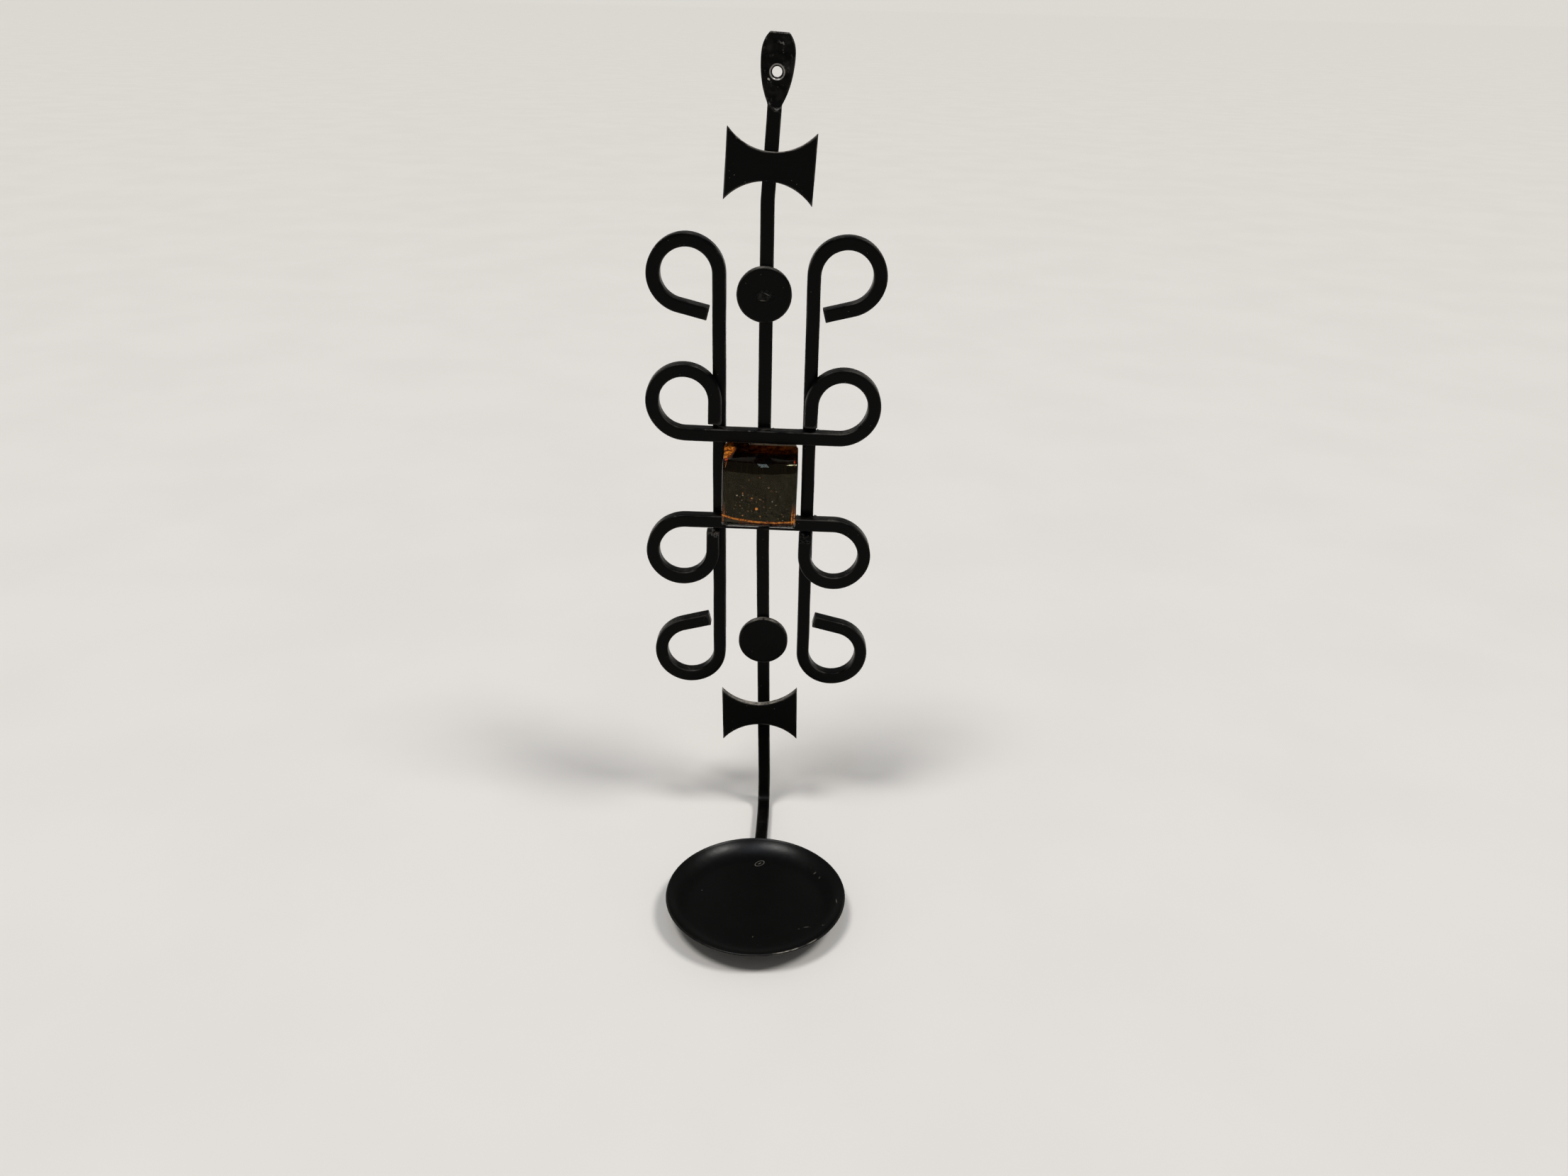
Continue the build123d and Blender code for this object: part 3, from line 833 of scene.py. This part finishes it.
# %% Paint the dish
coat = black_paint("dish_paint", dust=0.0, wear=0.35, gloss=0.19, rough=0.32)
floor_z = high.z - wall_rise
ring_spot = (-1.3 * MM, -63.2 * MM, floor_z)
ring_turn = (0, 0, radians(40))
near_ring = coat.distance(ring_spot, (1.6, 0.95, 4), ring_turn)
weld_ring = coat.times(coat.line(near_ring, 0.0016, 0.0002), 0.5)
dash = coat.ease(coat.distance(ring_spot, (1.5, 0.22, 4), ring_turn), 0.0008, 0.0005)
marks = [weld_ring, dash]
worn_through = coat.noise(900.0, 3.0, 0.6)
for x, y, z, length, turn in (
    (25.4, -71.0, 0.8, 1.3, 35),
    (27.7, -74.2, 1.2, 1.0, 60),
    (35.2, -92.8, 3.0, 2.6, 95),
    (21.2, -108.1, 2.0, 2.0, 10),
    (28.6, -108.1, 3.0, 1.2, -20),
    (-3.1, -115.2, 1.0, 0.6, 60),
    (17.7, -109.4, 1.0, 0.7, 15),
    (-28.1, -84.1, 0.3, 0.6, 70),
):
    spot = (x * MM, y * MM, floor_z + z * MM)
    near = coat.distance(spot, (length, 0.35, 4), (0, 0, radians(turn)))
    ragged = coat.plus(near, coat.times(worn_through, 0.0014))
    marks.append(coat.times(coat.ease(ragged, 0.0016, 0.0009), 0.4))
scratch = coat.most(*marks)
rim_spot = Vector((dish_centre.x, dish_centre.y, high.z))
from_axis = coat.distance(rim_spot, (1, 1, 1000))
at_rim = coat.line(from_axis, dish_radius - 0.45 * MM, 0.4 * MM)
long_chip = coat.ease(coat.distance((11.0 * MM, -129.2 * MM, high.z)), 0.007, 0.0055)
short_chip = coat.ease(coat.distance((23 * MM, -123 * MM, high.z)), 0.0032, 0.002)
broken = coat.ease(coat.noise(330.0, 3.0), 0.4, 0.54)
rim_worn = coat.times(at_rim, coat.most(long_chip, short_chip), broken, 0.8)
bright = coat.times(coat.most(scratch, rim_worn), 0.75)
steel = coat.blend(bright, coat.colour, (0.3, 0.28, 0.24, 1))
coat.fill(coat.shader, {"Base Color": steel, "Metallic": coat.times(rim_worn, 0.5)})
make_piece(bm, "candle_dish_pressed", coat, ["candle_dish"])

# %% [markdown]
# ## Glass block
# A square of cast amber glass sits between the cross bars, glued to a plate on the spine. It was poured:
# its front is melted round above and below, its top falls towards the front, and small bubbles are caught
# inside it. A cube with bevelled edges would be alike on all sides, so the block is drawn from its side,
# with the two front corners rounded, and extruded across. Its side edges get a narrow bevel.

# %% Cast the glass
low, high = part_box("glass_block")
glass_centre = (low + high) / 2
glass_width = 34.0 * MM
glass_height = 34.9 * MM
glass_depth = high.y - low.y
glass_top_fall = 2.8 * MM
glass_corner = 1.2 * MM
front_round = 5.0 * MM
bm = bmesh.new()
bmesh.ops.create_grid(bm, x_segments=1, y_segments=1, size=0.5)
bmesh.ops.scale(bm, vec=(glass_depth, glass_height, 1), verts=bm.verts)
on_its_side = Matrix.Rotation(radians(90), 3, "Z") @ Matrix.Rotation(radians(90), 3, "X")
bmesh.ops.rotate(bm, cent=(0, 0, 0), matrix=on_its_side, verts=bm.verts)
bmesh.ops.translate(bm, vec=(-glass_width / 2, 0, 0), verts=bm.verts)
front = [vert for vert in bm.verts if vert.co.y < 0]
max(front, key=lambda vert: vert.co.z).co.z -= glass_top_fall
round_off(bm, front, front_round, 10, "VERTICES")
thicken(bm, (glass_width, 0, 0))
sides = [face for face in bm.faces if abs(face.normal.x) > 0.9]
rims = [e for face in sides for e in face.edges]
round_off(bm, rims, glass_corner, 3)
print("glass block is", [round(side / MM, 1) for side in (glass_width, glass_depth, glass_height)])

# %% [markdown]
# ## Wavy glass
# Poured glass is never flat: its front brow sags towards the middle, a thin chipped lip stands along the
# upper back edge, and all its faces are a little wavy. The block is sliced into a fine mesh, so that its
# vertices can be moved for this. Subdividing would do it too, but slices are even across the bevels. The
# faces at the back get the second material, for the dark coat that comes later and also paints shade
# behind the glass.

# %% Slice and warp the glass
lip = 0.8 * MM
sag = 1.4 * MM
slicing = (((1, 0, 0), glass_width, 24), ((0, 0, 1), glass_height, 24), ((0, 1, 0), glass_depth, 8))
for direction, reach, slices in slicing:
    for number in range(1, slices):
        cut_at = Vector(direction) * reach * (number / slices - 0.5)
        parts = [*bm.verts, *bm.edges, *bm.faces]
        bmesh.ops.bisect_plane(bm, geom=parts, dist=1e-6, plane_co=cut_at, plane_no=direction)
bmesh.ops.recalc_face_normals(bm, faces=bm.faces)
back_y = glass_depth / 2 - 0.1 * MM
top_z = glass_height / 2 - 0.1 * MM
coated_z = glass_height / 2 - 0.7 * MM
# the back faces get the dark coat, which also paints shade behind the glass
for face in bm.faces:
    spot = face.calc_center_median()
    face.material_index = int(spot.y > back_y and spot.z < coated_z)
for vert in bm.verts:
    if vert.co.y > back_y and vert.co.z > top_z:
        vert.co.z += lip
    from_middle = (2 * vert.co.x / glass_width) ** 2
    upwards = min(1.0, max(0.0, vert.co.z / MM - 4) / 8)
    forwards = min(1.0, max(0.0, -vert.co.y / MM) / 5)
    vert.co.z += sag * (from_middle - 0.5) * (upwards * forwards)
uneven(bm, 0.12 * MM, 9 * MM, 23.0)
print("glass block has", len(bm.faces), "faces before its bubbles")

# %% [markdown]
# ## Bubbles
# Small bubbles of air were caught in the front of the glass. A bubble is a ball whose faces point into
# it, so that light leaves the glass there and enters it again. A bump can't do that. Small ones need few
# faces.

# %% Catch bubbles in the glass
random.seed(11)
for number in range(70):
    radius = random.choice((0.16, 0.2, 0.26, 0.36)) * MM
    x = random.gauss(0.5, 6.5) * MM
    z = random.gauss(-3.5, 6.0) * MM
    y = random.uniform(-0.47, -0.25) * glass_depth
    if abs(x) > 14 * MM or not -14 * MM < z < 9 * MM:
        continue
    made = bmesh.ops.create_icosphere(bm, subdivisions=2, radius=radius)
    stretch = Matrix.Diagonal((1, 1, random.uniform(1.0, 1.5), 1))
    bmesh.ops.transform(bm, matrix=Matrix.Translation((x, y, z)) @ stretch, verts=made["verts"])
    inside = {face for vert in made["verts"] for face in vert.link_faces}
    bmesh.ops.reverse_faces(bm, faces=list(inside))
GLASS = Matrix.Translation(glass_centre) @ Matrix.Rotation(radians(cross_tilt), 4, "Y")
bmesh.ops.transform(bm, matrix=GLASS, verts=bm.verts)
print("glass block has", len(bm.faces), "faces with its bubbles")

# %% [markdown]
# ## Painted glow in the glass
# Along the lower front edge, at the sides and in one upper corner, light caught in the glass is painted
# into its colour as an orange glow.
# These places are masks in the block's own millimetres, which a Mapping node makes by taking away the
# block's place and tilt. Noise sways the lines and breaks them into veins, because even lines would look
# painted on.

# %% Mask the glow
amber = Finish("amber_glass", {"IOR": 1.5, "Specular Tint": (0.55, 0.52, 0.33, 1)})
x, y, z = amber.own(glass_centre, radians(cross_tilt))
mottle = amber.noise(420.0, 4.0, 0.7)
veins = amber.noise(700.0, 5.0, 0.75)
wave = amber.times(amber.minus(amber.noise(180.0, 2.0), 0.5), 2.4)
rise = amber.minus(amber.times(x, x, 0.0068), amber.times(x, 0.058))
smile_z = amber.plus(amber.minus(rise, 13.35), amber.times(wave, 0.35))
above_smile = amber.minus(z, smile_z)
on_front = amber.ease(y, -4.0, -6.0)
smile = amber.times(amber.line(above_smile, 0.0, 0.75), on_front)
halo = amber.times(amber.line(above_smile, -0.9, 1.5), on_front, amber.ease(mottle, 0.4, 0.65), 0.3)
lower = amber.times(amber.ease(z, -2.5, -11.5), amber.ease(z, -15.0, -13.0))
swaying = amber.plus(x, amber.times(wave, 0.8))
right_streak = amber.most(amber.line(swaying, 15.2, 0.5), amber.line(swaying, 16.3, 0.6))
right_streak = amber.times(right_streak, lower, amber.ease(veins, 0.3, 0.5))
left_streak = amber.times(amber.line(swaying, -16.0, 0.5), lower, 0.7)
from_foot = amber.distance(GLASS @ (Vector((-16.2, -6.0, -15.0)) * MM))
left_foot = amber.ease(amber.plus(from_foot, amber.times(mottle, 0.0012)), 0.0022, 0.0012)
slant = amber.plus(amber.minus(x, amber.times(y, 0.154)), amber.times(wave, 1.4))
in_corner = amber.times(amber.ease(slant, -12.0, -14.0), amber.ease(z, 15.0, 16.0))
corner = amber.times(in_corner, amber.ease(veins, 0.32, 0.58))
# painted glow: orange light along the edges, at the sides and in the upper corner, put into the colour
glow = amber.most(smile, right_streak, left_streak, left_foot, corner, halo)
glow = amber.times(glow, amber.plus(0.45, amber.ease(veins, 0.35, 0.65, 0.55)))
print("glow takes", len(amber.tree.nodes), "nodes")

# %% [markdown]
# ## Sparks and chips
# Fine orange sparks and pale specks in the front of the glass are painted glints where small bubbles would
# catch the light, one orange blob hangs below its middle, and its upper back edge is chipped white. The
# specks are Voronoi dots of two sizes, kept to the front by a mask. Real balls so small would cost many
# faces and show no more.

# %% Mask the sparks and chips
top_spots = amber.times(amber.ease(z, 15.5, 16.8), amber.ease(mottle, 0.62, 0.72), 0.7)
from_blob = amber.distance(GLASS @ (Vector((-1.1, -9.5, -6.85)) * MM), (1, 3, 0.9))
blob = amber.ease(amber.plus(from_blob, amber.times(veins, 0.0008)), 0.0013, 0.0008)
from_smudge = amber.distance(GLASS @ (Vector((-3.6, -9.5, -2.75)) * MM), (1.2, 3, 0.8))
smudge = amber.times(amber.ease(from_smudge, 0.001, 0.0003), 0.12)
grain = amber.times(amber.ease(y, -8.5, -9.2), amber.ease(z, 5.5, 0.5))
# painted glints of small bubbles: orange sparks here and pale dots below
sparks = amber.times(amber.specks(260.0, 0.12, 0.5), grain, 0.8)
glow = amber.most(glow, top_spots, blob, smudge, sparks)
back_edge = amber.times(amber.ease(z, 16.0, 16.6), amber.ease(y, 8.0, 8.5), amber.ease(x, -8.0, 0.0))
chips = amber.times(back_edge, amber.ease(veins, 0.32, 0.46))
dot_glints = amber.most(amber.specks(360.0, 0.13, 0.6), amber.specks(620.0, 0.14, 0.5))
dot_glints = amber.times(dot_glints, grain, amber.ease(amber.noise(130.0, 2.0), 0.35, 0.6), 0.6)
white = amber.most(chips, dot_glints)
print("with sparks and chips", len(amber.tree.nodes), "nodes")

# %% [markdown]
# ## Glass colour
# The colour is in the depth: the surface is clear and a volume takes out blue and green, so a long way
# through the glass is nearly black. A coloured surface would look the same at any depth. Where a mask is
# on, less light goes straight through, and the surface shows the painted orange glow and glints and the
# white chips as its own colour.

# %% Colour the glass
# painted glow and glints: orange where the glow is painted, pale where the glints and chips are
tint_and_painted_glow = amber.blend(amber.ease(glow, 0.0, 0.15), (1.0, 0.9, 0.75, 1), (0.6, 0.11, 0.012, 1))
tint_and_painted_glow = amber.blend(amber.ease(glow, 0.3, 0.95), tint_and_painted_glow, (1.0, 0.34, 0.04, 1))
tint_and_painted_glow = amber.blend(white, tint_and_painted_glow, (0.95, 0.8, 0.6, 1))
clear = amber.minus(1.0, amber.most(amber.times(glow, 0.65), white))
rough_where_painted = amber.plus(amber.times(amber.most(glow, white), 0.4), 0.015)
skin = amber.bump(amber.noise(240.0, 2.0), 0.03, 0.0005)
sockets = {"Base Color": tint_and_painted_glow, "Roughness": rough_where_painted, "Normal": skin, "Transmission Weight": clear}
amber.fill(amber.shader, sockets)
depth = amber.tree.nodes.new("ShaderNodeVolumeAbsorption")
amber.fill(depth, {"Color": (0.82, 0.54, 0.12, 1), "Density": 170.0})
amber.tree.links.new(depth.outputs["Volume"], amber.tree.nodes["Material Output"].inputs["Volume"])
print("amber glass has", len(amber.tree.nodes), "nodes")

# %% [markdown]
# ## What the glass is fixed to
# Behind the glass are a thin plate on the spine and a bed of set glue. Their imported solids are already
# right, so they stay and only get a finish. The glue is dark and blotchy, and the same dark coat covers
# the back of the glass, where it also stands in as painted shade behind the glass. Near the upper right,
# where it is seen through the top of the glass, it is painted a lighter rust brown, as painted light
# coming in through the top. The coat is a second material on the back faces of the glass, because a
# sheet of its own there would fight with the glass for the same place.

# %% Finish the glue, the plate and the back of the glass
glue_and_back_shade = Finish("dark_glue", {"Specular IOR Level": 0.05})
blotch = glue_and_back_shade.noise(240.0, 5.0, 0.7)
x, y, z = glue_and_back_shade.own(glass_centre, radians(cross_tilt))
# painted light: a lighter rust brown near the top, where light coming through the top of the glass would fall
painted_light_through_top = glue_and_back_shade.times(glue_and_back_shade.ease(z, 6.5, 11.0), glue_and_back_shade.ease(x, -14.0, 4.0), glue_and_back_shade.ease(blotch, 0.3, 0.7))
smear = glue_and_back_shade.blend(glue_and_back_shade.ease(blotch, 0.35, 0.7), (0.002, 0.0018, 0.001, 1), (0.007, 0.0055, 0.003, 1))
smear = glue_and_back_shade.blend(painted_light_through_top, smear, (0.26, 0.16, 0.055, 1))
glue_normal = glue_and_back_shade.bump(blotch, 0.4, 0.0006)
glue_rough = glue_and_back_shade.ease(blotch, 0.2, 0.9, 0.6)
glue_and_back_shade.fill(glue_and_back_shade.shader, {"Base Color": smear, "Roughness": glue_rough, "Normal": glue_normal})
glass = make_piece(bm, "glass_cast", amber, ["glass_block"], turn_out=False)
# the dark coat on the back of the glass is also painted shade behind it
glass.data.materials.append(glue_and_back_shade.material)
for node, finish in (("glass_back_plate", bar_paint), ("glass_glue_bed", glue_and_back_shade)):
    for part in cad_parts[node].material_slots:
        part.material = finish.material
    print(node, "keeps its solid")

# %% [markdown]
# ## Weld beads
# Small beads of weld metal hold the crossing bars, plates and discs. Where they lie could be written down
# again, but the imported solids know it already: in a merged copy of a weld's solid, every loose island is
# one bead. The islands are found in the order of their vertices, so that every run is the same.


# %% Find the beads
def beads_of(node):
    """The corner points of each bead of a weld node."""
    copy = bmesh.new()
    copy.from_mesh(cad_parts[node].data)
    bmesh.ops.remove_doubles(copy, verts=copy.verts, dist=1e-6)
    waiting = set(copy.verts)
    beads = []
    for first in copy.verts:
        if first not in waiting:
            continue
        waiting.remove(first)
        reached = [first]
        for vert in reached:
            near = [edge.other_vert(vert) for edge in vert.link_edges]
            reached += [other for other in near if other in waiting]
            waiting.difference_update(near)
        beads.append([vert.co.copy() for vert in reached])
    copy.free()
    return beads


weld_nodes = sorted(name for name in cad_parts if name.endswith("_welds"))
print("beads:", {node: len(beads_of(node)) for node in weld_nodes})

# %% [markdown]
# ## Drops of weld metal
# A bead is a row of frozen drops, so each becomes a row of small rough balls that run into each other along
# its longest side. A smooth rod would be simpler, but weld metal is lumpy even under paint. The tips of the
# lower curls were welded over from the front, so they get a heap of drops on their faces too.


# %% Drop the beads
def add_drop(bm, spot, radius):
    """A rough frozen drop."""
    made = bmesh.ops.create_icosphere(bm, subdivisions=2, radius=radius)
    for vert in made["verts"]:
        vert.co += vert.co * 0.6 * noise.noise(vert.co / (0.7 * MM) + spot * 900)
    bmesh.ops.translate(bm, vec=spot, verts=made["verts"])


def drop_beads(bm, corners, drop_radius):
    """A row of rough drops along one bead."""
    low = Vector([min(corner[axis] for corner in corners) for axis in range(3)])
    high = Vector([max(corner[axis] for corner in corners) for axis in range(3)])
    size = high - low
    along = max(range(3), key=lambda axis: size[axis])
    run = max(0.2 * MM, size[along] - 2.2 * drop_radius)
    count = max(2, round(run / (1.2 * drop_radius)))
    for number in range(count):
        spot = (low + high) / 2
        spot[along] += run * (number / (count - 1) - 0.5)
        spot += Vector([random.uniform(-0.15, 0.15) * drop_radius for axis in range(3)])
        add_drop(bm, spot, drop_radius * random.uniform(0.85, 1.1))


def heap_drops(bm, x, z, reach, count):
    """A heap of small drops on the front of the lower cross scroll, placed in millimetres."""
    front_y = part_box("lower_cross_scroll")[0].y + 0.3 * MM
    for number in range(count):
        aside = Vector((random.uniform(-reach, reach), 0, random.uniform(-reach, reach)))
        spot = (Vector((x, 0, z)) + aside) * MM + Vector((0, front_y, 0))
        add_drop(bm, spot, random.uniform(0.45, 0.8) * MM)


weld_paint = black_paint("weld_paint", dust=0.3, wear=1.2, gloss=0.16, rough=0.24)
curl_lumps = ((-26.1, -201.5, 1.7, 12), (17.1, -203.2, 2.4, 24))
for node in weld_nodes:
    bm = bmesh.new()
    for corners in beads_of(node):
        drop_beads(bm, corners, 1.05 * MM)
    if node == "lower_curl_welds":
        for x, z, reach, count in curl_lumps:
            heap_drops(bm, x, z, reach, count)
    make_piece(bm, node.replace("_welds", "_beads"), weld_paint, [node], sharp=70)
